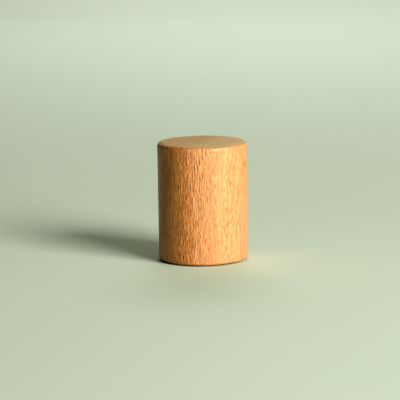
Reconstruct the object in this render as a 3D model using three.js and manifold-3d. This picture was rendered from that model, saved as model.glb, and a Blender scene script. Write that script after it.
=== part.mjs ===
// A turned beech needle case that stands on its base.
//
// The cover is one deep piece of wood, bored from below. It lifts off a base plug, which
// carries a magnet under a disc of felt. The needles stand in the felt, held by the magnet.
// A rubber ring in a groove round the plug grips the cover, which also turns on it.
// Millimetres, +Z up. The origin is the middle of the surface that the case stands on.

import * as THREE from 'three';
import { mergeVertices } from 'three/addons/utils/BufferGeometryUtils.js';
import Module from 'manifold-3d';

// Whole case
const CASE_DIAMETER = 37.5;
const CASE_HEIGHT = 50;
const CASE_RADIUS = CASE_DIAMETER / 2;

// Cover
const TOP_EDGE_RADIUS = 1.8; // the rounded edge round the top
const RIM_EDGE_RADIUS = 1.2; // the rounded outer edge of the rim
const RIM_GAP = 0.4; // from the surface up to the rim, which hangs clear of it
const RIM_CHAMFER = 0.5; // lead-in at the mouth of the bore
const ROOF_THICKNESS = 4.2; // wood over the needle chamber
const CHAMBER_RADIUS = 13.2;
const CHAMBER_CORNER_RADIUS = 2;
const MOUTH_RADIUS = 15.2; // the wider bore that takes the base plug

// Base plug, from the underside up
const PLUG_RADIUS = MOUTH_RADIUS - 0.2; // the rubber ring takes up the play
const PLUG_CHAMFER = 0.6;
const GRIP_DEPTH = 4.6; // two fingertip hollows in the underside, with a bar between them
const GRIP_RADIUS = 11.8; // from the axis to the curved wall of a hollow
const GRIP_BAR_WIDTH = 7.2; // the bar is pinched to pull or turn the base
const GRIP_CORNER_RADIUS = 2;
const WEB_THICKNESS = 1.4; // wood between the hollows and the magnet's pocket

// Magnet and felt
const FIT_GAP = 0.05; // play between a glued-in piece and its pocket
const MAGNET_RADIUS = 9;
const MAGNET_THICKNESS = 2;
const MAGNET_CHAMFER = 0.2;
const FELT_RADIUS = 12.4;
const FELT_THICKNESS = 1.5;
const FELT_EDGE = 0.2;
const FELT_RECESS_DEPTH = 1; // the felt stands proud of the base by the rest of its thickness

// Rubber ring, as squeezed between the plug and the cover
const RING_SECTION_RADIUS = 0.7;
const RING_OUTER_RADIUS = MOUTH_RADIUS - FIT_GAP;
const GROOVE_WIDTH = 1.9;
const GROOVE_HEIGHT = 5.8; // from the underside to the middle of the groove

// Needles: length and wire diameter, in a circle over the magnet's edge
const NEEDLES = [
  { name: 'sharps_needle_size_7', length: 35.5, diameter: 0.69, eye: 1.9, spin: 20 },
  { name: 'quilting_needle_size_7', length: 29.5, diameter: 0.69, eye: 1.4, spin: -65 },
  { name: 'tapestry_needle_size_24', length: 36, diameter: 0.79, eye: 4.2, spin: 75 },
  { name: 'sharps_needle_size_9', length: 32.5, diameter: 0.56, eye: 1.6, spin: 35 },
  { name: 'embroidery_needle_size_7', length: 35.5, diameter: 0.69, eye: 3.2, spin: -30 },
  { name: 'quilting_needle_size_9', length: 27, diameter: 0.56, eye: 1.2, spin: 80 },
  { name: 'sharps_needle_size_8', length: 34, diameter: 0.61, eye: 1.7, spin: 0 },
  { name: 'embroidery_needle_size_9', length: 32.5, diameter: 0.56, eye: 2.8, spin: 55 },
  { name: 'quilting_needle_size_8', length: 28.5, diameter: 0.61, eye: 1.3, spin: -40 },
  { name: 'tapestry_needle_size_26', length: 33, diameter: 0.61, eye: 3.4, spin: 15 },
];
const NEEDLE_CIRCLE_RADIUS = 8.4;
const NEEDLE_FIRST_ANGLE = 12; // degrees from +X
const NEEDLE_LEAN = 1.6; // degrees outwards, along the magnet's field
const POINT_LENGTH = 6;
const POINT_DEPTH = 1.1; // how deep a point stands in the felt
const PIT_RADIUS = 0.45;
const EYE_WIDTH = 0.42; // of the needle's diameter
const EYE_TO_TOP = 0.75;
const HEAD_WIDENING = 1.15; // the head is pressed wider than the wire, and thinner
const HEAD_THINNING = 0.62;

// Heights, worked out from the above
const POCKET_FLOOR = GRIP_DEPTH + WEB_THICKNESS;
const FELT_FLOOR = POCKET_FLOOR + MAGNET_THICKNESS + 2 * FIT_GAP;
const PLUG_TOP = FELT_FLOOR + FELT_RECESS_DEPTH;
const FELT_BOTTOM = FELT_FLOOR + FIT_GAP;
const FELT_TOP = FELT_BOTTOM + FELT_THICKNESS;
const SHOULDER = PLUG_TOP + 2 * FIT_GAP; // the step in the cover that rests on the plug
const CHAMBER_ROOF = CASE_HEIGHT - ROOF_THICKNESS;

// How finely round shapes are faceted
const WOOD_SIDES = 96;
const RING_SIDES = 72;
const DISC_SIDES = 64;
const NEEDLE_SIDES = 8;
const ARC_STEPS = 5;
const RING_STEPS = 10;

const BEECH = { color: 0xd29556, roughness: 0.45, metalness: 0 };
const RUBBER = { color: 0x26221f, roughness: 0.7, metalness: 0 };
const NICKEL = { color: 0xc9cbcd, roughness: 0.22, metalness: 1 };
const FELT = { color: 0xd8cfba, roughness: 0.95, metalness: 0 };
const STEEL = { color: 0xd4d5d8, roughness: 0.18, metalness: 1 };

const wasm = await Module();
wasm.setup();

const radians = THREE.MathUtils.degToRad;

// Points of a quarter or other arc about (r, z), from one angle to another in degrees.
function arc(r, z, radius, from, to, steps = ARC_STEPS) {
  const points = [];
  for (let i = 0; i <= steps; i++) {
    const angle = radians(from + ((to - from) * i) / steps);
    points.push([r + radius * Math.cos(angle), z + radius * Math.sin(angle)]);
  }
  return points;
}

// A solid of revolution about Z. The profile's points are [radius, height], anticlockwise.
function turned(profile, sides) {
  const points = profile.map(([r, z]) => new THREE.Vector2(r, z));
  const geometry = new THREE.LatheGeometry(points, sides);
  geometry.rotateX(Math.PI / 2);
  return welded(geometry);
}

// One closed mesh of positions only, without the triangles of no area at an axis.
function welded(geometry) {
  geometry.deleteAttribute('normal');
  geometry.deleteAttribute('uv');
  const merged = mergeVertices(geometry, 1e-4);
  const index = merged.getIndex().array;
  const kept = [];
  for (let i = 0; i < index.length; i += 3) {
    const [a, b, c] = index.slice(i, i + 3);
    if (a !== b && b !== c && c !== a) {
      kept.push(a, b, c);
    }
  }
  merged.setIndex(kept);
  return merged;
}

function toManifold(geometry) {
  const mesh = new wasm.Mesh({
    numProp: 3,
    vertProperties: new Float32Array(geometry.getAttribute('position').array),
    triVerts: new Uint32Array(geometry.getIndex().array),
  });
  return new wasm.Manifold(mesh);
}

function fromManifold(solid) {
  const mesh = solid.getMesh();
  const geometry = new THREE.BufferGeometry();
  geometry.setAttribute('position', new THREE.BufferAttribute(mesh.vertProperties, 3));
  geometry.setIndex(new THREE.BufferAttribute(mesh.triVerts, 1));
  return geometry;
}

// The first geometry with all the others cut out of it.
function cut(geometry, tools) {
  let solid = toManifold(geometry);
  for (const tool of tools) {
    solid = solid.subtract(toManifold(tool));
  }
  return fromManifold(solid);
}

function part(name, geometry, look) {
  const display = geometry.toNonIndexed();
  display.computeVertexNormals();
  const mesh = new THREE.Mesh(display, new THREE.MeshStandardMaterial(look));
  mesh.name = name;
  return mesh;
}

// The deep cover: a seamless wall and top, bored from below with a step that rests on the plug.
function makeCover() {
  const cornerR = CHAMBER_RADIUS - CHAMBER_CORNER_RADIUS;
  const cornerZ = CHAMBER_ROOF - CHAMBER_CORNER_RADIUS;
  const topEdgeR = CASE_RADIUS - TOP_EDGE_RADIUS;
  const topEdgeZ = CASE_HEIGHT - TOP_EDGE_RADIUS;
  const rimEdgeR = CASE_RADIUS - RIM_EDGE_RADIUS;
  const rimEdgeZ = RIM_GAP + RIM_EDGE_RADIUS;
  const profile = [
    [0, CHAMBER_ROOF],
    ...arc(cornerR, cornerZ, CHAMBER_CORNER_RADIUS, 90, 0),
    [CHAMBER_RADIUS, SHOULDER],
    [MOUTH_RADIUS, SHOULDER],
    [MOUTH_RADIUS, RIM_GAP + RIM_CHAMFER],
    [MOUTH_RADIUS + RIM_CHAMFER, RIM_GAP],
    ...arc(rimEdgeR, rimEdgeZ, RIM_EDGE_RADIUS, -90, 0),
    ...arc(topEdgeR, topEdgeZ, TOP_EDGE_RADIUS, 0, 90),
    [0, CASE_HEIGHT],
  ];
  return part('cover', turned(profile, WOOD_SIDES), BEECH);
}

// One fingertip hollow, on the +Y side of the bar or, with side -1, on the -Y side.
function gripHollow(side) {
  const barEdge = GRIP_BAR_WIDTH / 2;
  const inset = GRIP_CORNER_RADIUS;
  const innerRadius = GRIP_RADIUS - inset;
  const cornerY = barEdge + inset;
  const cornerX = Math.sqrt(innerRadius ** 2 - cornerY ** 2);
  const cornerAngle = Math.atan2(cornerY, cornerX);
  const outline = new THREE.Shape();
  outline.moveTo(-cornerX, barEdge);
  outline.lineTo(cornerX, barEdge);
  outline.absarc(cornerX, cornerY, inset, -Math.PI / 2, cornerAngle, false);
  outline.absarc(0, 0, GRIP_RADIUS, cornerAngle, Math.PI - cornerAngle, false);
  outline.absarc(-cornerX, cornerY, inset, Math.PI - cornerAngle, (3 * Math.PI) / 2, false);
  const below = 1; // the cutter starts below the underside
  const cutter = new THREE.ExtrudeGeometry(outline, {
    depth: GRIP_DEPTH + below,
    bevelEnabled: false,
    curveSegments: 16,
  });
  cutter.translate(0, 0, -below);
  if (side < 0) {
    cutter.rotateZ(Math.PI);
  }
  return welded(cutter);
}

// The base plug: the ring's groove round it, the magnet's pocket and the felt's recess on top,
// and the fingertip hollows underneath.
function makeBase() {
  const pocketRadius = MAGNET_RADIUS + 2 * FIT_GAP;
  const recessRadius = FELT_RADIUS + 2 * FIT_GAP;
  const grooveRadius = RING_OUTER_RADIUS - 2 * RING_SECTION_RADIUS - FIT_GAP;
  const grooveLow = GROOVE_HEIGHT - GROOVE_WIDTH / 2;
  const grooveHigh = GROOVE_HEIGHT + GROOVE_WIDTH / 2;
  const profile = [
    [0, 0],
    [PLUG_RADIUS - PLUG_CHAMFER, 0],
    [PLUG_RADIUS, PLUG_CHAMFER],
    [PLUG_RADIUS, grooveLow],
    [grooveRadius, grooveLow],
    [grooveRadius, grooveHigh],
    [PLUG_RADIUS, grooveHigh],
    [PLUG_RADIUS, PLUG_TOP - PLUG_CHAMFER],
    [PLUG_RADIUS - PLUG_CHAMFER, PLUG_TOP],
    [recessRadius, PLUG_TOP],
    [recessRadius, FELT_FLOOR],
    [pocketRadius, FELT_FLOOR],
    [pocketRadius, POCKET_FLOOR],
    [0, POCKET_FLOOR],
  ];
  const hollows = [gripHollow(1), gripHollow(-1)];
  return part('base', cut(turned(profile, WOOD_SIDES), hollows), BEECH);
}

// The rubber ring in the plug's groove.
function makeFrictionRing() {
  const middle = RING_OUTER_RADIUS - RING_SECTION_RADIUS;
  const section = arc(middle, GROOVE_HEIGHT, RING_SECTION_RADIUS, 0, 360, RING_STEPS);
  return part('friction_ring', turned(section, RING_SIDES), RUBBER);
}

// A disc with chamfered edges, from one height to another.
function disc(radius, bottom, top, chamfer) {
  const profile = [
    [0, bottom],
    [radius - chamfer, bottom],
    [radius, bottom + chamfer],
    [radius, top - chamfer],
    [radius - chamfer, top],
    [0, top],
  ];
  return turned(profile, DISC_SIDES);
}

function makeMagnet() {
  const bottom = POCKET_FLOOR + FIT_GAP;
  const geometry = disc(MAGNET_RADIUS, bottom, bottom + MAGNET_THICKNESS, MAGNET_CHAMFER);
  return part('magnet', geometry, NICKEL);
}

// Where a needle's point stands, and the direction in which it leans.
function needlePlace(i) {
  const angle = radians(NEEDLE_FIRST_ANGLE + (360 * i) / NEEDLES.length);
  const out = new THREE.Vector3(Math.cos(angle), Math.sin(angle), 0);
  const foot = out.clone().multiplyScalar(NEEDLE_CIRCLE_RADIUS);
  foot.z = FELT_TOP - POINT_DEPTH;
  return { angle, foot };
}

// The felt over the magnet, with a pit for the point of each needle.
function makeFeltPad() {
  const pits = NEEDLES.map((_, i) => {
    const { foot } = needlePlace(i);
    const depth = POINT_DEPTH + FIT_GAP;
    const pit = new THREE.CylinderGeometry(PIT_RADIUS, PIT_RADIUS, 2 * depth, NEEDLE_SIDES);
    pit.rotateX(Math.PI / 2);
    pit.translate(foot.x, foot.y, FELT_TOP);
    return welded(pit);
  });
  const geometry = disc(FELT_RADIUS, FELT_BOTTOM, FELT_TOP, FELT_EDGE);
  return part('felt_pad', cut(geometry, pits), FELT);
}

// A needle along +Z with its point at the origin. The head is pressed flat across X, and the
// eye goes through it along X.
function needleGeometry({ length, diameter, eye }) {
  const radius = diameter / 2;
  const headLength = eye + 3;
  const headBottom = length - headLength;
  const profile = [
    [0, 0],
    [radius * 0.16, 0.12],
    [radius * 0.62, POINT_LENGTH * 0.4],
    [radius, POINT_LENGTH],
    [radius, headBottom],
    [radius, headBottom + headLength / 3],
    [radius, length - 0.4],
    [radius * 0.7, length - 0.1],
    [0, length],
  ];
  const wire = turned(profile, NEEDLE_SIDES);
  const position = wire.getAttribute('position');
  for (let i = 0; i < position.count; i++) {
    const rise = (position.getZ(i) - headBottom) / (headLength / 3);
    const pressed = THREE.MathUtils.clamp(rise, 0, 1);
    position.setX(i, position.getX(i) * THREE.MathUtils.lerp(1, HEAD_THINNING, pressed));
    position.setY(i, position.getY(i) * THREE.MathUtils.lerp(1, HEAD_WIDENING, pressed));
  }
  return cut(wire, [eyeCutter(radius, length - EYE_TO_TOP - eye, eye)]);
}

// A slot with round ends, from a height upwards, through the needle along X.
function eyeCutter(radius, bottom, length) {
  const half = radius * EYE_WIDTH;
  const slot = new THREE.Shape();
  slot.absarc(0, length - half, half, 0, Math.PI, false);
  slot.absarc(0, half, half, Math.PI, 2 * Math.PI, false);
  const depth = 4 * radius;
  const cutter = new THREE.ExtrudeGeometry(slot, { depth, bevelEnabled: false, curveSegments: 4 });
  cutter.translate(0, 0, -depth / 2);
  cutter.rotateX(Math.PI / 2);
  cutter.rotateZ(Math.PI / 2);
  cutter.translate(0, 0, bottom);
  return welded(cutter);
}

function makeNeedle(needle, i) {
  const { angle, foot } = needlePlace(i);
  const mesh = part(needle.name, needleGeometry(needle), STEEL);
  mesh.rotation.z = radians(needle.spin);
  const lean = new THREE.Group();
  lean.rotation.y = radians(NEEDLE_LEAN);
  lean.add(mesh);
  const place = new THREE.Group();
  place.position.copy(foot);
  place.rotation.z = angle;
  place.add(lean);
  return place;
}

const needleCase = new THREE.Group();
needleCase.name = 'needle_case';
needleCase.add(makeBase(), makeMagnet(), makeFeltPad(), makeFrictionRing(), makeCover());
needleCase.add(...NEEDLES.map(makeNeedle));

export default needleCase;
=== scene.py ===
import math
from math import radians
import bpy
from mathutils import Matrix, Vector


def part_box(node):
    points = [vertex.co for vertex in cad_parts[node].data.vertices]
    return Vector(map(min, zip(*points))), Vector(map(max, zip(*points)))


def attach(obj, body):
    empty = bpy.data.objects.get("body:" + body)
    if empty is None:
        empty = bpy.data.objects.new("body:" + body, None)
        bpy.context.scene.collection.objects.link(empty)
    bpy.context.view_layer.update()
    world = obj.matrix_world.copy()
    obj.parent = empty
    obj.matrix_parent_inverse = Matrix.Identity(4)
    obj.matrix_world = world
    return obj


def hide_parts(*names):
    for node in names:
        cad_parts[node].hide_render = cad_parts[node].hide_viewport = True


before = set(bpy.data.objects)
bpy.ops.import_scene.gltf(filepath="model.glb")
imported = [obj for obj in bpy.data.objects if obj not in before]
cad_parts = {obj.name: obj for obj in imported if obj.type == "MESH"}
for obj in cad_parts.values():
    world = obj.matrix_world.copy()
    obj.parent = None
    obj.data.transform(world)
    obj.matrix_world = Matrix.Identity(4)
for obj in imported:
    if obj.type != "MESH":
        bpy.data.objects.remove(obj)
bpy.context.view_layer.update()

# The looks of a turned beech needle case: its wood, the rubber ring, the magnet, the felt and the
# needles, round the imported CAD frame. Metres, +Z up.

from types import SimpleNamespace

import bmesh
import bpy
from mathutils import Matrix, Vector, noise

MM = 0.001

# Sizes that the frame's boxes give
COVER_LOW, COVER_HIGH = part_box("cover")
_, BASE_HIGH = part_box("base")
RING_LOW, RING_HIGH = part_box("friction_ring")
MAGNET_LOW, MAGNET_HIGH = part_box("magnet")
FELT_LOW, FELT_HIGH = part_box("felt_pad")
CASE_RADIUS = COVER_HIGH.x
CASE_HEIGHT = COVER_HIGH.z
NEEDLES = sorted(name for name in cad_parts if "_needle_" in name)

# The CAD model's other sizes
TOP_EDGE_RADIUS = 1.8 * MM
RIM_EDGE_RADIUS = 1.2 * MM
RIM_CHAMFER = 0.5 * MM
ROOF_THICKNESS = 4.2 * MM
CHAMBER_RADIUS = 13.2 * MM
CHAMBER_CORNER_RADIUS = 2 * MM
FIT_GAP = 0.05 * MM
STEP_GAP = 0.1 * MM
PLUG_CHAMFER = 0.6 * MM
GROOVE_WIDTH = 1.9 * MM
GRIP_DEPTH = 4.6 * MM
GRIP_RADIUS = 11.8 * MM
GRIP_BAR_WIDTH = 7.2 * MM
GRIP_CORNER_RADIUS = 2 * MM
RING_TOP_ANGLE = 72  # degrees. The CAD ring's section has ten sides, and is highest there
EYE_TO_TOP = 0.75 * MM
EYE_WIDTH = 0.42  # of the needle's diameter
HEAD_WIDENING = 1.15  # of the wire
HEAD_THINNING = 0.62
POINT_LENGTH = 6 * MM
EYE_LENGTHS = {  # mm, by kind and size
    "sharps": {"7": 1.9, "8": 1.7, "9": 1.6},
    "quilting": {"7": 1.4, "8": 1.3, "9": 1.2},
    "embroidery": {"7": 3.2, "9": 2.8},
    "tapestry": {"24": 4.2, "26": 3.4},
}

# Fineness of the meshes
SIDES = 256  # round a turned piece
WALL_SIDES, WALL_ROWS = 600, 60  # of the cover, for the relief on its wall
FELT_SIDES, FELT_RINGS = 192, 34
NEEDLE_SIDES = 24
SHARP_ANGLE = 35  # degrees. Only a sharper edge is left unsmoothed
BEVEL_SEGMENTS = 3
ON_AXIS = 1e-7


# ---------------------------------------------------------------- mesh helpers


def arc(r, z, radius, start, end, steps=10):
    """Points (radius, height) of an arc about (r, z), with angles in degrees."""
    angles = [radians(start + (end - start) * i / steps) for i in range(steps + 1)]
    return [(r + radius * math.cos(a), z + radius * math.sin(a)) for a in angles]


def bell(offset, width):
    """1 in the middle, and falling smoothly to almost nothing at twice the width."""
    return math.exp(-((offset / width) ** 2))


def turned_mesh(profile, sides=SIDES, closed=False):
    """A bmesh of revolution about Z. The profile runs from axis to axis, or closes on itself."""
    bm = bmesh.new()
    rings = []
    for r, z in profile:
        if r < ON_AXIS:
            rings.append([bm.verts.new((0, 0, z))])
            continue
        turn = [2 * math.pi * i / sides for i in range(sides)]
        rings.append([bm.verts.new((r * math.cos(a), r * math.sin(a), z)) for a in turn])
    pairs = list(zip(rings, rings[1:]))
    if closed:
        pairs.append((rings[-1], rings[0]))
    for low, high in pairs:
        for i in range(sides):
            j = (i + 1) % sides
            corners = [low[i % len(low)], low[j % len(low)], high[j % len(high)], high[i % len(high)]]
            unique = list(dict.fromkeys(corners))
            bm.faces.new(unique)
    bmesh.ops.recalc_face_normals(bm, faces=bm.faces)
    return bm


def prism_cutter(name, outline, depth):
    """A solid with the outline's points at one end, pushed along a depth vector to the other."""
    bm = bmesh.new()
    end = bm.faces.new([bm.verts.new(place) for place in outline])
    extruded = bmesh.ops.extrude_face_region(bm, geom=[end])
    moved = [v for v in extruded["geom"] if isinstance(v, bmesh.types.BMVert)]
    bmesh.ops.translate(bm, vec=depth, verts=moved)
    bmesh.ops.recalc_face_normals(bm, faces=bm.faces)
    return make_object(name, bm)


def smooth_faces(mesh):
    mesh.shade_smooth()
    mesh.set_sharp_from_angle(angle=radians(SHARP_ANGLE))


def make_object(name, bm):
    """A new object in the scene with the bmesh's shape."""
    mesh = bpy.data.meshes.new(name)
    bm.to_mesh(mesh)
    bm.free()
    smooth_faces(mesh)
    obj = bpy.data.objects.new(name, mesh)
    bpy.context.scene.collection.objects.link(obj)
    return obj


def bake_modifiers(obj):
    """Applies the object's modifiers to its mesh."""
    depsgraph = bpy.context.evaluated_depsgraph_get()
    mesh = bpy.data.meshes.new_from_object(obj.evaluated_get(depsgraph), depsgraph=depsgraph)
    obj.modifiers.clear()
    obj.data = mesh
    smooth_faces(mesh)


def cut(obj, cutters):
    """Cuts the cutters' space out of the object, and deletes the cutters."""
    for cutter in cutters:
        modifier = obj.modifiers.new("cut", "BOOLEAN")
        modifier.operation = "DIFFERENCE"
        modifier.solver = "EXACT"
        modifier.object = cutter
    bake_modifiers(obj)
    for cutter in cutters:
        bpy.data.objects.remove(cutter)


def soften(obj, width):
    """Rounds off every sharp edge."""
    modifier = obj.modifiers.new("soften", "BEVEL")
    modifier.width = width
    modifier.segments = BEVEL_SEGMENTS
    modifier.limit_method = "ANGLE"
    modifier.angle_limit = radians(SHARP_ANGLE)
    modifier.use_clamp_overlap = True
    bake_modifiers(obj)


def finish_piece(obj, node, body, slot, *materials):
    """Gives a piece its materials and its body, and hides the CAD node that it stands for. The slot is not
    used.
    """
    for material in materials:
        obj.data.materials.append(material)
    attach(obj, body)
    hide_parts(node)


# ---------------------------------------------------------------- material helpers


def srgb(red, green, blue):
    """A linear colour from 8-bit display values."""
    def linear(value):
        v = value / 255
        return v / 12.92 if v <= 0.04045 else ((v + 0.055) / 1.055) ** 2.4
    return (linear(red), linear(green), linear(blue), 1.0)


class Graph:
    """A material's nodes, made by short calls. Each input is a socket or a plain value."""

    def __init__(self, name):
        self.material = bpy.data.materials.new(name)
        self.material.use_nodes = True
        self.tree = self.material.node_tree
        self.tree.nodes.clear()

    def node(self, kind, inputs, out=0, **settings):
        """Adds a node, sets or links its inputs, and gives back one of its outputs."""
        node = self.tree.nodes.new("ShaderNode" + kind)
        for name, value in settings.items():
            setattr(node, name, value)
        for key, value in inputs.items():
            if isinstance(value, bpy.types.NodeSocket):
                self.tree.links.new(value, node.inputs[key])
            else:
                node.inputs[key].default_value = value
        return node.outputs[out] if node.outputs else None

    def math(self, operation, a, b=0.0):
        return self.node("Math", {0: a, 1: b}, operation=operation)

    def vector(self, operation, a, b, out=0):
        return self.node("VectorMath", {0: a, 1: b}, out=out, operation=operation)

    def split(self, vector):
        """The x, y and z of a vector."""
        parts = self.tree.nodes.new("ShaderNodeSeparateXYZ")
        self.tree.links.new(vector, parts.inputs[0])
        return parts.outputs

    def remap(self, value, low, high, to_low=0.0, to_high=1.0, smooth=True):
        inputs = {"Value": value, "From Min": low, "From Max": high, "To Min": to_low, "To Max": to_high}
        kind = "SMOOTHSTEP" if smooth else "LINEAR"
        return self.node("MapRange", inputs, interpolation_type=kind, clamp=True)

    def mix(self, factor, a, b):
        return self.node("Mix", {0: factor, 6: a, 7: b}, out=2, data_type="RGBA")

    def noise(self, vector, scale=1.0, detail=2.0, roughness=0.5, out=0):
        inputs = {"Vector": vector, "Scale": scale, "Detail": detail, "Roughness": roughness}
        return self.node("TexNoise", inputs, out=out)

    def object_mm(self):
        """The surface point in the object's own frame, in millimetres."""
        point = self.node("TexCoord", {}, out="Object")
        return self.vector("MULTIPLY", point, (1000, 1000, 1000))

    def bump(self, height, strength, distance):
        inputs = {"Height": height, "Strength": strength, "Distance": distance}
        return self.node("Bump", inputs)

    def surface(self, **inputs):
        """Ends the graph in a Principled shader. Names have _ for a space."""
        named = {name.replace("_", " "): value for name, value in inputs.items()}
        shader = self.node("BsdfPrincipled", named)
        self.node("OutputMaterial", {"Surface": shader})
        return self.material


# ---------------------------------------------------------------- wood

PITH_DISTANCE = 70.0  # mm, from the turning axis to the middle of the tree
PITH_AZIMUTH = 15.0  # degrees, from +Y towards +X
RING_SPACING = 2.6  # mm
RING_LEAN = 0.035  # sideways for each mm of height
KEY_LIT_SIDE = (0.92, -0.39, 0.0)  # the way towards the key lamp. The wood is painted paler and pinker that way, as painted light and sheen, and darker the other way, as painted shade
PAINTED_LIGHT_START, PAINTED_LIGHT_END = -1.0, 12.0  # mm from the axis, towards the key lamp's side, over which painted shade turns into painted light
PAINTED_LIGHT_WOBBLE = 8.0  # mm, at most

# One fleck stands in each cell. In mm, round the rings, outwards, and up the grain
RAY_CELL = (0.6, 5.0, 4.6)
SMALL_RAY_CELL = (0.5, 6.0, 2.4)
PALE_RAY_CELL = (1.0, 9.0, 5.2)
PORE_CELL = (0.22, 0.22, 5.0)

# Noise scales per mm, the same three ways
STRAND_SCALE = (2.6, 2.2, 0.32)
LINE_SCALE = (1.7, 1.3, 0.06)
FIBRE_SCALE = (5.0, 4.0, 0.5)

# Noise scales per mm, in x, y and z
TONE_SCALE = (0.12, 0.12, 0.03)
BEND_SCALE, BEND = (0.06, 0.06, 0.03), 4.0  # a slow bend of the whole grain, in mm
CURL_SCALE, CURL = (0.55, 0.55, 0.2), 0.9  # a quick curl of the fibres, in mm

# In both looks, each colour for the side away from the key lamp is painted shade, and each colour for the
# lamp's side is painted light; in the oiled look the raised blue of the lamp's side colours is a painted
# sheen.
OILED_WOOD = {
    "shade_side": srgb(196, 128, 52),
    "sap": srgb(222, 160, 108),
    "deep": srgb(176, 104, 38),
    "fleck": srgb(120, 68, 28),
    "pale_shade_side": srgb(240, 186, 98),
    "pale_lit_side": srgb(246, 196, 138),
    "end_shade_side": srgb(196, 162, 116),
    "end_lit_side": srgb(208, 180, 134),
    "end_dark": srgb(146, 108, 66),
    "vivid": (1.2, 0.85),  # strength of the figure, on the shaded side and on the lit side. The stronger figure on the shaded side is painted shade of the relief under grazing light
    "roughness": (0.44, 0.56),
    "coat": 0.55,
    "relief": 0.0006,  # metres
}
RAW_WOOD = {
    "shade_side": srgb(200, 158, 114),
    "sap": srgb(212, 176, 132),
    "deep": srgb(184, 140, 96),
    "fleck": srgb(148, 102, 66),
    "pale_shade_side": srgb(216, 180, 138),
    "pale_lit_side": srgb(224, 190, 150),
    "end_shade_side": srgb(184, 148, 108),
    "end_lit_side": srgb(194, 162, 120),
    "end_dark": srgb(146, 110, 76),
    "vivid": (0.65, 0.5),
    "roughness": (0.62, 0.8),
    "coat": 0.0,
    "relief": 0.0001,
}


def tree_frame(g, point):
    """Coordinates in mm that follow the tree: round its rings, outwards, and up the grain."""
    pith_x = PITH_DISTANCE * math.sin(radians(PITH_AZIMUTH))
    pith_y = PITH_DISTANCE * math.cos(radians(PITH_AZIMUTH))
    away = g.vector("SUBTRACT", point, (pith_x, pith_y, 0.0))
    x, y, z = g.split(away)
    out = g.math("SQRT", g.math("ADD", g.math("MULTIPLY", x, x), g.math("MULTIPLY", y, y)))
    lean = g.math("ADD", out, g.math("MULTIPLY", z, RING_LEAN))
    round_angle = g.math("ARCTAN2", x, g.math("MULTIPLY", y, -1.0))
    along = g.math("MULTIPLY", round_angle, PITH_DISTANCE)
    return g.node("CombineXYZ", {0: along, 1: lean, 2: z}), lean


def wander(g, point, scale, detail, amount):
    """The point, moved sideways by a soft noise."""
    shift = g.noise(g.vector("MULTIPLY", point, scale), detail=detail, out="Color")
    shift = g.vector("SUBTRACT", shift, (0.5, 0.5, 0.5))
    return g.vector("ADD", point, g.vector("MULTIPLY", shift, (amount, amount, 0.0)))


def flecks(g, grain, cell, low, high):
    """Spindles cut through by the surface. Each fills from low to high of its cell's size.

    The mask is 0 outside them, and inside each one rises to a strength of its own.
    """
    scaled = g.vector("DIVIDE", grain, cell)
    voronoi = g.tree.nodes.new("ShaderNodeTexVoronoi")
    voronoi.feature = "F1"
    g.tree.links.new(scaled, voronoi.inputs["Vector"])
    voronoi.inputs["Scale"].default_value = 1.0
    parts = g.tree.nodes.new("ShaderNodeSeparateColor")
    g.tree.links.new(voronoi.outputs["Color"], parts.inputs[0])
    reach = g.remap(parts.outputs[0], 0.0, 1.0, low, high, smooth=False)
    inside = g.math("SUBTRACT", 1.0, g.math("DIVIDE", voronoi.outputs["Distance"], reach))
    mask = g.remap(inside, 0.0, 0.55)
    return g.math("MULTIPLY", mask, parts.outputs[1])


def wood_features(g):
    """The masks and noises that the wood is mixed from, all fixed in the solid."""
    point = g.object_mm()
    bent = wander(g, point, BEND_SCALE, 2.0, BEND)
    rings_at, outwards = tree_frame(g, bent)
    grain, _ = tree_frame(g, wander(g, bent, CURL_SCALE, 1.0, CURL))

    wood = SimpleNamespace()
    ring = g.math("FRACT", g.math("DIVIDE", outwards, RING_SPACING))
    wood.late = g.math("MULTIPLY", g.remap(ring, 0.25, 0.93), g.remap(ring, 1.0, 0.95))
    wood.rays = flecks(g, rings_at, RAY_CELL, 0.22, 0.52)
    wood.small_rays = flecks(g, grain, SMALL_RAY_CELL, 0.2, 0.5)
    wood.pale_rays = flecks(g, grain, PALE_RAY_CELL, 0.2, 0.5)
    wood.pores = flecks(g, grain, PORE_CELL, 0.10, 0.34)
    wood.strand = g.noise(g.vector("MULTIPLY", grain, STRAND_SCALE), detail=2.0, roughness=0.55)
    wood.line = g.noise(g.vector("MULTIPLY", grain, LINE_SCALE), detail=1.0, roughness=0.5)
    wood.fibre = g.noise(g.vector("MULTIPLY", grain, FIBRE_SCALE), detail=2.0, roughness=0.6)
    tone = g.noise(g.vector("MULTIPLY", point, TONE_SCALE), detail=1.0)
    # Painted light and shade: a mask that rises across the case towards the key lamp, wobbled at random by
    # the tone.
    side = g.vector("DOT_PRODUCT", point, KEY_LIT_SIDE, out="Value")
    wobbled = g.math("ADD", side, g.math("MULTIPLY", tone, PAINTED_LIGHT_WOBBLE))
    wood.sapwood = g.remap(wobbled, PAINTED_LIGHT_START, PAINTED_LIGHT_END)
    return wood


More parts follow.
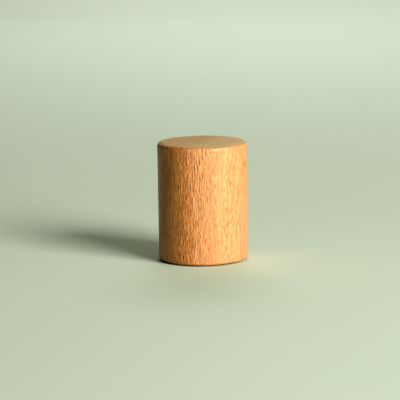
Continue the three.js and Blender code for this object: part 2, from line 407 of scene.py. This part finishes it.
def wall_colour(g, wood, look, vivid, pale):
    """Wood cut along the fibres: strands, long lines, fibres, rays and pores on its ground colour, which
    is painted darker away from the key lamp as painted shade and paler towards it as painted light and
    sheen.
    """
    deep, fleck = look["deep"], look["fleck"]

    def stain(mask, strength, under, over):
        return g.mix(g.math("MULTIPLY", g.math("MULTIPLY", mask, vivid), strength), under, over)

    colour = g.mix(wood.sapwood, look["shade_side"], look["sap"])
    colour = g.mix(g.math("MULTIPLY", wood.late, 0.09), colour, deep)
    colour = stain(g.remap(wood.strand, 0.52, 0.3), 0.42, colour, deep)
    colour = stain(g.remap(wood.strand, 0.52, 0.75), 0.42, colour, pale)
    colour = g.mix(g.remap(wood.line, 0.5, 0.3, 0.0, 0.2), colour, deep)
    colour = g.mix(g.remap(wood.line, 0.5, 0.7, 0.0, 0.25), colour, pale)
    colour = g.mix(g.remap(wood.fibre, 0.5, 0.25, 0.0, 0.4), colour, deep)
    colour = g.mix(g.math("MULTIPLY", wood.pale_rays, 0.3), colour, pale)
    colour = stain(wood.small_rays, 0.55, colour, fleck)
    colour = stain(wood.rays, 0.46, colour, fleck)
    return g.mix(g.math("MULTIPLY", wood.pores, 0.35), colour, fleck)


def end_colour(g, wood, look, pale):
    """Wood cut across the fibres: rings, pores and pale rays, on a ground painted paler towards the key
    lamp and darker away from it, as painted light and shade.
    """
    dark = look["end_dark"]
    colour = g.mix(wood.sapwood, look["end_shade_side"], look["end_lit_side"])
    colour = g.mix(g.math("MULTIPLY", wood.late, 0.35), colour, dark)
    colour = g.mix(g.math("MULTIPLY", wood.pores, 0.6), colour, dark)
    colour = g.mix(g.remap(wood.fibre, 0.55, 0.3, 0.0, 0.5), colour, dark)
    return g.mix(g.math("MULTIPLY", wood.rays, 0.4), colour, pale)


def beech(name, look):
    """Beech with growth rings, ray flecks, fibres and pores, which all run through the solid."""
    g = Graph(name)
    wood = wood_features(g)
    # Painted shade: the figure is stronger on the side away from the key lamp, and the pale streaks are
    # painted paler on the lamp's side.
    vivid = g.remap(wood.sapwood, 0.0, 1.0, *look["vivid"], smooth=False)
    pale = g.mix(wood.sapwood, look["pale_shade_side"], look["pale_lit_side"])
    along = wall_colour(g, wood, look, vivid, pale)
    across = end_colour(g, wood, look, pale)
    upright = g.split(g.node("TexCoord", {}, out="Normal"))[2]
    end_grain = g.remap(g.math("ABSOLUTE", upright), 0.6, 0.97)

    dips = g.math("ADD", g.math("MULTIPLY", wood.rays, 0.3), g.math("MULTIPLY", wood.pores, 0.15))
    ripple = g.math("ADD", g.math("MULTIPLY", wood.strand, vivid), g.math("MULTIPLY", wood.fibre, 0.32))
    ripple = g.math("ADD", ripple, g.math("MULTIPLY", wood.line, 0.4))
    height = g.math("SUBTRACT", ripple, dips)
    relief = g.remap(end_grain, 0.0, 1.0, 1.0, 0.1)
    side_roughness = g.remap(wood.fibre, 0.2, 0.8, *look["roughness"])
    return g.surface(
        Base_Color=g.mix(end_grain, along, across),
        Roughness=g.math("ADD", side_roughness, g.remap(end_grain, 0.0, 1.0, 0.0, 0.25)),
        Specular_IOR_Level=0.4,
        Normal=g.bump(g.math("MULTIPLY", height, relief), 1.0, look["relief"]),
        IOR=1.5,
        Coat_Weight=g.remap(end_grain, 0.5, 1.0, look["coat"], 0.0),
        Coat_Roughness=0.32,
    )


# ---------------------------------------------------------------- other materials


def rubber():
    """Dark rubber, paler and rougher in patches."""
    g = Graph("ring_rubber")
    point = g.object_mm()
    grime = g.noise(point, scale=1.4, detail=5.0, roughness=0.65)
    grain = g.noise(point, scale=14.0, detail=3.0)
    colour = g.mix(g.remap(grime, 0.35, 0.75), srgb(34, 31, 29), srgb(66, 61, 56))
    roughness = g.remap(grime, 0.3, 0.7, 0.48, 0.72)
    return g.surface(Base_Color=colour, Roughness=roughness, Normal=g.bump(grain, 0.25, 0.00004))


def nickel():
    """Nickel plating with fine scratches along X and a slight haze."""
    g = Graph("magnet_nickel")
    point = g.object_mm()
    scratch_at = g.vector("MULTIPLY", point, (0.4, 14.0, 1.0))
    scratch = g.noise(scratch_at, detail=4.0, roughness=0.7)
    haze = g.noise(point, scale=0.35, detail=3.0)
    colour = g.mix(haze, srgb(196, 194, 188), srgb(216, 215, 211))
    roughness = g.math("ADD", g.remap(scratch, 0.35, 0.7, 0.14, 0.32), g.remap(haze, 0.3, 0.7, 0.0, 0.1))
    bump = g.bump(scratch, 0.12, 0.00002)
    return g.surface(Base_Color=colour, Metallic=1.0, Roughness=roughness, Normal=bump)


def felt():
    """Undyed wool: three directions of curled fibres, and a cloudy tone."""
    g = Graph("wool_felt")
    point = g.object_mm()
    curl = g.noise(point, scale=0.9, detail=3.0, out="Color")
    curl = g.vector("MULTIPLY", g.vector("SUBTRACT", curl, (0.5, 0.5, 0.5)), (3.0, 3.0, 3.0))
    curled = g.vector("ADD", point, curl)
    fibres = 0.0
    for turn in (0, 60, 120):
        turned = g.node("VectorRotate", {"Vector": curled, "Angle": radians(turn)}, rotation_type="Z_AXIS")
        laid = g.noise(g.vector("MULTIPLY", turned, (1.6, 16.0, 5.0)), detail=2.0, roughness=0.5)
        fibres = g.math("MAXIMUM", fibres, laid)
    cloud = g.noise(point, scale=0.3, detail=3.0)
    colour = g.mix(g.remap(fibres, 0.5, 0.75), srgb(190, 181, 158), srgb(226, 220, 203))
    colour = g.mix(g.remap(cloud, 0.35, 0.7, 0.0, 0.3), colour, srgb(200, 190, 166))
    return g.surface(
        Base_Color=colour,
        Roughness=0.95,
        Sheen_Weight=0.6,
        Sheen_Roughness=0.5,
        Normal=g.bump(fibres, 0.7, 0.00014),
    )


def needle_steel():
    """Polished steel with faint lines along the wire."""
    g = Graph("needle_steel")
    point = g.object_mm()
    drawn = g.noise(g.vector("MULTIPLY", point, (9.0, 9.0, 0.5)), detail=4.0, roughness=0.65)
    colour = g.mix(drawn, srgb(196, 199, 204), srgb(232, 233, 236))
    roughness = g.remap(drawn, 0.3, 0.7, 0.10, 0.24)
    bump = g.bump(drawn, 0.1, 0.00001)
    return g.surface(Base_Color=colour, Metallic=1.0, Roughness=roughness, Normal=bump)


def needle_gilt():
    """The gold colour on a needle's head, worn through in places."""
    g = Graph("needle_gilt")
    point = g.object_mm()
    wear = g.noise(point, scale=2.2, detail=5.0, roughness=0.6)
    colour = g.mix(g.remap(wear, 0.5, 0.72), srgb(238, 198, 112), srgb(214, 206, 188))
    roughness = g.remap(wear, 0.3, 0.7, 0.14, 0.3)
    return g.surface(Base_Color=colour, Metallic=1.0, Roughness=roughness)


# ---------------------------------------------------------------- pieces

# The relief of the cover's wall: noise scales per metre, and heights in mm
RELIEF_ACROSS, RELIEF_UP = 1900, 270
WEAR_SCALE = 160
STRAND_HEIGHT, FIBRE_HEIGHT, WEAR_DEPTH = 0.020, 0.010, 0.015

STEP_SOFTNESS = 0.3 * MM  # of the inner step's edge
MOUTH_CORNER = 0.15 * MM
CHAMFER_CORNER = 0.05 * MM
CHAMFER_RUN_OUT = 0.1 * MM
CUT_MARGIN = 1 * MM  # by which a cutter stands out of the face that it cuts
FACE_TOLERANCE = 0.01 * MM
BASE_SOFTNESS = 0.18 * MM
GROOVE_SLACK = 0.05 * MM
MAGNET_EDGE_RADIUS = 0.2 * MM


def fibre_relief(place):
    """How far the raised fibres stand out of the worn, oiled wall at a place on it."""
    across, up = RELIEF_ACROSS, RELIEF_UP
    strand = noise.noise(Vector((place.x * across, place.y * across, place.z * up)))
    fibre = noise.noise(Vector((place.x * across * 2, place.y * across * 2, place.z * up * 2)))
    wear = noise.noise(place * WEAR_SCALE)
    return (STRAND_HEIGHT * strand + FIBRE_HEIGHT * fibre + WEAR_DEPTH * wear - WEAR_DEPTH) * MM


def raise_fibres(bm):
    """Gives the wall its relief, in full there and fading to none where the flat top begins."""
    for vert in bm.verts:
        across = Vector((vert.co.x, vert.co.y, 0))
        edge = (across.length - (CASE_RADIUS - TOP_EDGE_RADIUS)) / TOP_EDGE_RADIUS
        if edge > 0:
            vert.co += across.normalized() * fibre_relief(vert.co) * min(edge * 2, 1)


def make_cover(oiled, raw):
    """The deep cover, with its wall and top in one, and the bore and step inside."""
    mouth = RING_HIGH.x + FIT_GAP
    shoulder = BASE_HIGH.z + STEP_GAP
    rim = COVER_LOW.z
    roof = CASE_HEIGHT - ROOF_THICKNESS
    corner_r = CHAMBER_RADIUS - CHAMBER_CORNER_RADIUS
    wall_low = rim + RIM_EDGE_RADIUS
    wall_high = CASE_HEIGHT - TOP_EDGE_RADIUS
    inside = [
        (0, roof),
        (corner_r * 0.5, roof),
        *arc(corner_r, roof - CHAMBER_CORNER_RADIUS, CHAMBER_CORNER_RADIUS, 90, 0),
        (CHAMBER_RADIUS, shoulder + STEP_SOFTNESS),
        (CHAMBER_RADIUS + STEP_SOFTNESS, shoulder),
        (mouth - MOUTH_CORNER, shoulder),
        (mouth, shoulder - MOUTH_CORNER),
    ]
    outside = [
        (mouth, rim + RIM_CHAMFER + CHAMFER_RUN_OUT),
        (mouth + CHAMFER_CORNER, rim + RIM_CHAMFER - CHAMFER_CORNER),
        (mouth + RIM_CHAMFER - CHAMFER_CORNER, rim + CHAMFER_CORNER),
        (mouth + RIM_CHAMFER + CHAMFER_RUN_OUT, rim),
        *arc(CASE_RADIUS - RIM_EDGE_RADIUS, wall_low, RIM_EDGE_RADIUS, -90, 0),
        *[(CASE_RADIUS, wall_low + (wall_high - wall_low) * i / WALL_ROWS) for i in range(1, WALL_ROWS)],
        *arc(CASE_RADIUS - TOP_EDGE_RADIUS, wall_high, TOP_EDGE_RADIUS, 0, 90),
        (CASE_RADIUS * 0.5, CASE_HEIGHT),
        (0, CASE_HEIGHT),
    ]
    bm = turned_mesh(inside + outside, sides=WALL_SIDES)
    raise_fibres(bm)
    cover = make_object("cover_beech", bm)
    finish_piece(cover, "cover", "cover", "beech", oiled, raw)
    for face in cover.data.polygons:
        centre = face.center
        in_bore = math.hypot(centre.x, centre.y) < mouth + FACE_TOLERANCE
        inner = in_bore and centre.z < roof + FACE_TOLERANCE
        face.material_index = 1 if inner else 0


def grip_cutter(side):
    """The space of one fingertip hollow, on the +Y side of the bar or the -Y side."""
    inner = GRIP_RADIUS - GRIP_CORNER_RADIUS
    corner_y = GRIP_BAR_WIDTH / 2 + GRIP_CORNER_RADIUS
    corner_x = math.sqrt(inner**2 - corner_y**2)
    corner_angle = math.degrees(math.atan2(corner_y, corner_x))
    outline = [
        *arc(corner_x, corner_y, GRIP_CORNER_RADIUS, -90, corner_angle, 12),
        *arc(0, 0, GRIP_RADIUS, corner_angle, 180 - corner_angle, 60)[1:-1],
        *arc(-corner_x, corner_y, GRIP_CORNER_RADIUS, 180 - corner_angle, 270, 12),
    ]
    low = [(side * x, side * y, -CUT_MARGIN) for x, y in outline]
    return prism_cutter("grip_cutter", low, (0, 0, GRIP_DEPTH + CUT_MARGIN))


def make_base(raw):
    """The plug that the cover fits over, with its groove, pocket, recess and fingertip hollows."""
    radius, top = BASE_HIGH.x, BASE_HIGH.z
    groove = RING_HIGH.x - (RING_HIGH.z - RING_LOW.z) - FIT_GAP - GROOVE_SLACK
    middle = (RING_LOW.z + RING_HIGH.z) / 2
    groove_low, groove_high = middle - GROOVE_WIDTH / 2, middle + GROOVE_WIDTH / 2
    recess = FELT_HIGH.x + 2 * FIT_GAP
    recess_floor = FELT_LOW.z - FIT_GAP
    pocket = MAGNET_HIGH.x + 2 * FIT_GAP
    pocket_floor = MAGNET_LOW.z - FIT_GAP
    profile = [
        (0, 0),
        (radius - PLUG_CHAMFER, 0),
        (radius, PLUG_CHAMFER),
        (radius, groove_low),
        (groove, groove_low),
        (groove, groove_high),
        (radius, groove_high),
        (radius, top - PLUG_CHAMFER),
        (radius - PLUG_CHAMFER, top),
        (recess, top),
        (recess, recess_floor),
        (pocket, recess_floor),
        (pocket, pocket_floor),
        (0, pocket_floor),
    ]
    base = make_object("base_beech", turned_mesh(profile))
    cut(base, [grip_cutter(1), grip_cutter(-1)])
    soften(base, BASE_SOFTNESS)
    finish_piece(base, "base", "base", "beech", raw)


def make_ring(material):
    """The rubber ring of round section, which sits in the groove, just clear of the cover's bore."""
    section = (RING_HIGH.z - RING_LOW.z) / 2 / math.sin(radians(RING_TOP_ANGLE))
    middle_r = RING_HIGH.x - section
    middle_z = (RING_LOW.z + RING_HIGH.z) / 2
    profile = arc(middle_r, middle_z, section, 0, 360, 28)[:-1]
    ring = make_object("ring_rubber", turned_mesh(profile, closed=True))
    finish_piece(ring, "friction_ring", "friction_ring", "rubber", material)


def make_magnet(material):
    """The magnet's disc, with both its edges rounded."""
    edge = MAGNET_EDGE_RADIUS
    edge_r = MAGNET_HIGH.x - edge
    profile = [
        (0, MAGNET_LOW.z),
        *arc(edge_r, MAGNET_LOW.z + edge, edge, -90, 0, 6),
        *arc(edge_r, MAGNET_HIGH.z - edge, edge, 0, 90, 6),
        (0, MAGNET_HIGH.z),
    ]
    magnet = make_object("magnet_disc", turned_mesh(profile))
    finish_piece(magnet, "magnet", "base", "nickel", material)


# ---------------------------------------------------------------- felt and needles

FELT_EDGE_RADIUS = 0.45 * MM
FELT_SUNK = 0.1 * MM  # leaves room for the matting under the CAD disc's top
FELT_UNDERSIDE = 0.1 * MM  # the lowest part, which lies flat in its recess
FELT_TUFTS, FELT_TUFT_SCALE = 0.03 * MM, 900  # height, and noise scale per metre
FELT_HAIRS, FELT_HAIR_SCALE = 0.02 * MM, 3800
DENT_DEPTH, DENT_WIDTH = 0.35 * MM, 0.45 * MM

SHAFT_START, SHAFT_END = 0.15, 0.78  # of a needle's length, below its wide head
BLUNT_TIP, SHARP_TIP = 0.5, 0.14  # of the wire's radius
POINT_STEPS, HEAD_STEPS = 14, 28
CROWN_RADIUS = 0.35 * MM
HEAD_BELOW_EYE = 2.2 * MM
PRESSED_RUN = 2 * MM  # over which the round wire turns into the pressed head
GUTTER_BELOW_EYE, GUTTER_ABOVE_EYE = 0.9 * MM, 0.3 * MM
GUTTER_DEPTH, GUTTER_WIDTH = 0.3, 0.4  # of the needle's radius
GILT_BELOW_EYE = 1 * MM


def needle_line(name):
    """A CAD needle's point, direction, length, the way its head is wide, and its radius."""
    places = [v.co.copy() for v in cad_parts[name].data.vertices]
    tip = min(places, key=lambda p: p.z)
    top = max(places, key=lambda p: p.z)
    along = (top - tip).normalized()

    def sideways(p):
        offset = p - tip
        return offset - along * offset.dot(along)

    widest = max((sideways(p) for p in places), key=lambda s: s.length)
    shaft = [p for p in places if SHAFT_START < (p - tip).length / (top - tip).length < SHAFT_END]
    radius = max(sideways(p).length for p in shaft)
    return tip, along, (top - tip).length, widest.normalized(), radius


def make_felt(material):
    """The felt disc: matted top, soft edge, and a dent where each needle's point goes in."""
    radius, low, high = FELT_HIGH.x, FELT_LOW.z, FELT_HIGH.z
    edge = FELT_EDGE_RADIUS
    profile = [
        (0, low),
        (radius * 0.5, low),
        *arc(radius - edge, low + edge, edge, -90, 0, 5),
        *arc(radius - edge, high - edge, edge, 0, 90, 8),
        *[((radius - edge) * (1 - i / FELT_RINGS), high) for i in range(1, FELT_RINGS + 1)],
    ]
    bm = turned_mesh(profile, sides=FELT_SIDES)
    points = [needle_line(name)[0] for name in NEEDLES]
    for vert in bm.verts:
        if vert.co.z < low + FELT_UNDERSIDE:
            continue
        rough = noise.fractal(vert.co * FELT_TUFT_SCALE, 0.9, 2.1, 3)
        fine = noise.noise(vert.co * FELT_HAIR_SCALE)
        vert.co.z += FELT_TUFTS * rough + FELT_HAIRS * fine - FELT_SUNK
        across = Vector((vert.co.x, vert.co.y, 0))
        if across.length > radius - edge:
            vert.co -= across.normalized() * (2 * FELT_TUFTS * abs(rough) + FELT_HAIRS)
        for point in points:
            gap = math.hypot(vert.co.x - point.x, vert.co.y - point.y)
            vert.co.z -= DENT_DEPTH * bell(gap, DENT_WIDTH)
    felt_pad = make_object("felt_pad_wool", bm)
    finish_piece(felt_pad, "felt_pad", "base", "felt", material)


def eye_cutter(radius, low, high):
    """A slot with round ends, through the needle's thin way."""
    width = EYE_WIDTH * radius
    outline = arc(0, high - width, width, 0, 180, 12) + arc(0, low + width, width, 180, 360, 12)
    near = [(-1.5 * radius, y, z) for y, z in outline]
    return prism_cutter("eye_cutter", near, (3 * radius, 0, 0))


def needle_stations(length, radius, head_low, tip):
    """(height, radius) of the round wire up a needle: its point, its head and its crown."""
    stations = []
    for i in range(POINT_STEPS + 1):
        t = i / POINT_STEPS
        stations.append((POINT_LENGTH * t, radius * (tip + (1 - tip) * math.sin(t * math.pi / 2))))
    crown_low = length - CROWN_RADIUS
    for i in range(HEAD_STEPS + 1):
        stations.append((head_low + (crown_low - head_low) * i / HEAD_STEPS, radius))
    for degrees in (18, 36, 54, 72):
        a = radians(degrees)
        stations.append((crown_low + CROWN_RADIUS * math.sin(a), radius * math.cos(a)))
    return stations


def needle_mesh(length, radius, eye_low, eye_high, tip):
    """A needle along +Z, without its eye: thin along X and wide along Y at its head."""
    head_low = eye_low - HEAD_BELOW_EYE
    bm = bmesh.new()
    rings = []
    for z, r in needle_stations(length, radius, head_low, tip):
        pressed = min(max((z - head_low) / PRESSED_RUN, 0), 1)
        pressed = pressed * pressed * (3 - 2 * pressed)
        gutter = bell(z - eye_low, GUTTER_BELOW_EYE) + bell(z - eye_high, GUTTER_ABOVE_EYE)
        ring = []
        for k in range(NEEDLE_SIDES):
            a = 2 * math.pi * k / NEEDLE_SIDES
            dip = GUTTER_DEPTH * gutter * bell(math.sin(a), GUTTER_WIDTH)
            x = r * (1 - (1 - HEAD_THINNING) * pressed) * (1 - dip) * math.cos(a)
            y = r * (1 + (HEAD_WIDENING - 1) * pressed) * math.sin(a)
            ring.append(bm.verts.new((x, y, z)))
        rings.append(ring)
    start = bm.verts.new((0, 0, 0))
    end = bm.verts.new((0, 0, length))
    for k in range(NEEDLE_SIDES):
        j = (k + 1) % NEEDLE_SIDES
        for low, high in zip(rings, rings[1:]):
            bm.faces.new((low[k], low[j], high[j], high[k]))
        bm.faces.new((start, rings[0][j], rings[0][k]))
        bm.faces.new((end, rings[-1][k], rings[-1][j]))
    bmesh.ops.recalc_face_normals(bm, faces=bm.faces)
    return bm


def make_needle(name, steel, gilt):
    """A needle with its ground point, its pressed head, the gutters at its eye, and gilt on its head."""
    point, along, length, wide, radius = needle_line(name)
    kind, size = name.split("_needle_size_")
    eye_high = length - EYE_TO_TOP
    eye_low = eye_high - EYE_LENGTHS[kind][size] * MM
    tip = BLUNT_TIP if kind == "tapestry" else SHARP_TIP

    needle = make_object(name + "_polished", needle_mesh(length, radius, eye_low, eye_high, tip))
    cut(needle, [eye_cutter(radius, eye_low, eye_high)])
    finish_piece(needle, name, "base", "needle_steel", steel, gilt)
    for face in needle.data.polygons:
        face.material_index = 1 if face.center.z > eye_low - GILT_BELOW_EYE else 0
    turn = Matrix((wide.cross(along), wide, along)).transposed().to_4x4()
    needle.data.transform(Matrix.Translation(point) @ turn)


# ---------------------------------------------------------------- stage, light and camera

CAMERA_DISTANCE = 42 * CASE_RADIUS
CAMERA_PITCH = 9.69  # degrees below the horizon
CAMERA_ROLL = -0.9  # degrees
CAMERA_HALF_ANGLE = 6.104  # degrees, from the middle of the view to its side
OBJECT_RIGHT_OF_CENTRE = 0.0606 * CASE_RADIUS

# In metres. A curve joins the floor to the upright backdrop at its far end
FLOOR_NEAR, FLOOR_FAR = -6.0, 2.3
FLOOR_HALF_WIDTH = 6.0
BACKDROP_CURVE, BACKDROP_TOP = 0.8, 2.0
WORLD_STRENGTH = 0.015


def make_camera():
    """A long lens that looks down a little at the closed case, which stands right of its middle."""
    data = bpy.data.cameras.new("camera")
    camera = bpy.data.objects.new("camera", data)
    bpy.context.scene.collection.objects.link(camera)
    data.sensor_width = 36
    data.lens = data.sensor_width / 2 / math.tan(radians(CAMERA_HALF_ANGLE))
    pitch = radians(CAMERA_PITCH)
    centre = Vector((0, 0, CASE_HEIGHT / 2))
    back = Vector((0, -math.cos(pitch), math.sin(pitch)))
    aim = centre - Vector((OBJECT_RIGHT_OF_CENTRE, 0, 0))
    place = centre + back * CAMERA_DISTANCE
    turn = (aim - place).to_track_quat("-Z", "Y").to_matrix().to_4x4()
    camera.matrix_world = Matrix.Translation(place) @ turn @ Matrix.Rotation(radians(CAMERA_ROLL), 4, "Z")
    bpy.context.scene.camera = camera


def direction(azimuth, elevation):
    """Unit vector towards a lamp. Azimuth 0 is the camera's side and 90 is +X."""
    a, e = radians(azimuth), radians(elevation)
    return Vector((math.sin(a) * math.cos(e), -math.cos(a) * math.cos(e), math.sin(e)))


def lamp(name, azimuth, elevation, distance, size, power, colour, middle=(0, 0, 0), spread=180):
    """A soft rectangular lamp, size = (width, height), which faces a middle point on the floor.

    The spread is the full angle in degrees that its light fills.
    """
    data = bpy.data.lights.new(name, "AREA")
    data.shape = "RECTANGLE"
    data.size, data.size_y = size
    data.energy = power
    data.color = colour
    data.spread = radians(spread)
    lamp_object = bpy.data.objects.new(name, data)
    bpy.context.scene.collection.objects.link(lamp_object)
    towards = direction(azimuth, elevation)
    lamp_object.location = Vector(middle) + towards * distance
    lamp_object.rotation_euler = towards.to_track_quat("Z", "Y").to_euler()


def make_sweep():
    """A plain pale green sweep: a floor that curves up into a backdrop far behind the case."""
    curve = arc(FLOOR_FAR - BACKDROP_CURVE, BACKDROP_CURVE, BACKDROP_CURVE, -90, 0, 24)
    floor = [(FLOOR_NEAR, 0), (-2.0, 0), (0, 0), (1.2, 0)]
    profile = [*floor, *curve, (FLOOR_FAR, BACKDROP_TOP)]
    bm = bmesh.new()
    left = [bm.verts.new((-FLOOR_HALF_WIDTH, y, z)) for y, z in profile]
    right = [bm.verts.new((FLOOR_HALF_WIDTH, y, z)) for y, z in profile]
    for i in range(len(profile) - 1):
        bm.faces.new((left[i], right[i], right[i + 1], left[i + 1]))
    sweep = make_object("stage_sweep", bm)
    g = Graph("stage_paint")
    point = g.node("TexCoord", {}, out="Object")
    mottle = g.noise(point, scale=1.5, detail=3.0)
    colour = g.mix(mottle, srgb(202, 211, 196), srgb(208, 217, 202))
    sweep.data.materials.append(g.surface(Base_Color=colour, Roughness=0.8, Specular_IOR_Level=0.2))


def make_world():
    """A faint even light, and the contrast of the display."""
    world = bpy.data.worlds.new("world")
    world.use_nodes = True
    background = world.node_tree.nodes["Background"]
    background.inputs["Color"].default_value = srgb(196, 204, 160)
    background.inputs["Strength"].default_value = WORLD_STRENGTH
    bpy.context.scene.world = world
    bpy.context.scene.view_settings.view_transform = "Standard"
    bpy.context.scene.view_settings.look = "High Contrast"


def make_lamps():
    """The key from the front right, one overhead, and two that light the floor behind the case."""
    lamp(
        "key", azimuth=44, elevation=22, distance=1.45, size=(0.72, 0.95), power=11.1,
        colour=(1.0, 0.995, 0.965), spread=110,
    )
    lamp(
        "overhead", azimuth=0, elevation=80, distance=1.5, size=(0.8, 0.8), power=2.1,
        colour=(0.9, 1.0, 0.45),
    )
    lamp(
        "backdrop", azimuth=0, elevation=89, distance=0.9, size=(0.9, 0.9), power=7.2,
        colour=(0.97, 0.96, 0.98), middle=(0.12, 1.4, 0),
    )
    lamp(
        "middle_floor", azimuth=0, elevation=89, distance=0.5, size=(0.5, 0.5), power=0.5,
        colour=(1.0, 1.0, 1.0), middle=(0.1, 0.7, 0),
    )


make_camera()
make_sweep()
make_world()
make_lamps()
oiled_beech = beech("beech_oiled", OILED_WOOD)
raw_beech = beech("beech_raw", RAW_WOOD)
make_cover(oiled_beech, raw_beech)
make_base(raw_beech)
make_ring(rubber())
make_magnet(nickel())
make_felt(felt())
steel, gilt = needle_steel(), needle_gilt()
for name in NEEDLES:
    make_needle(name, steel, gilt)
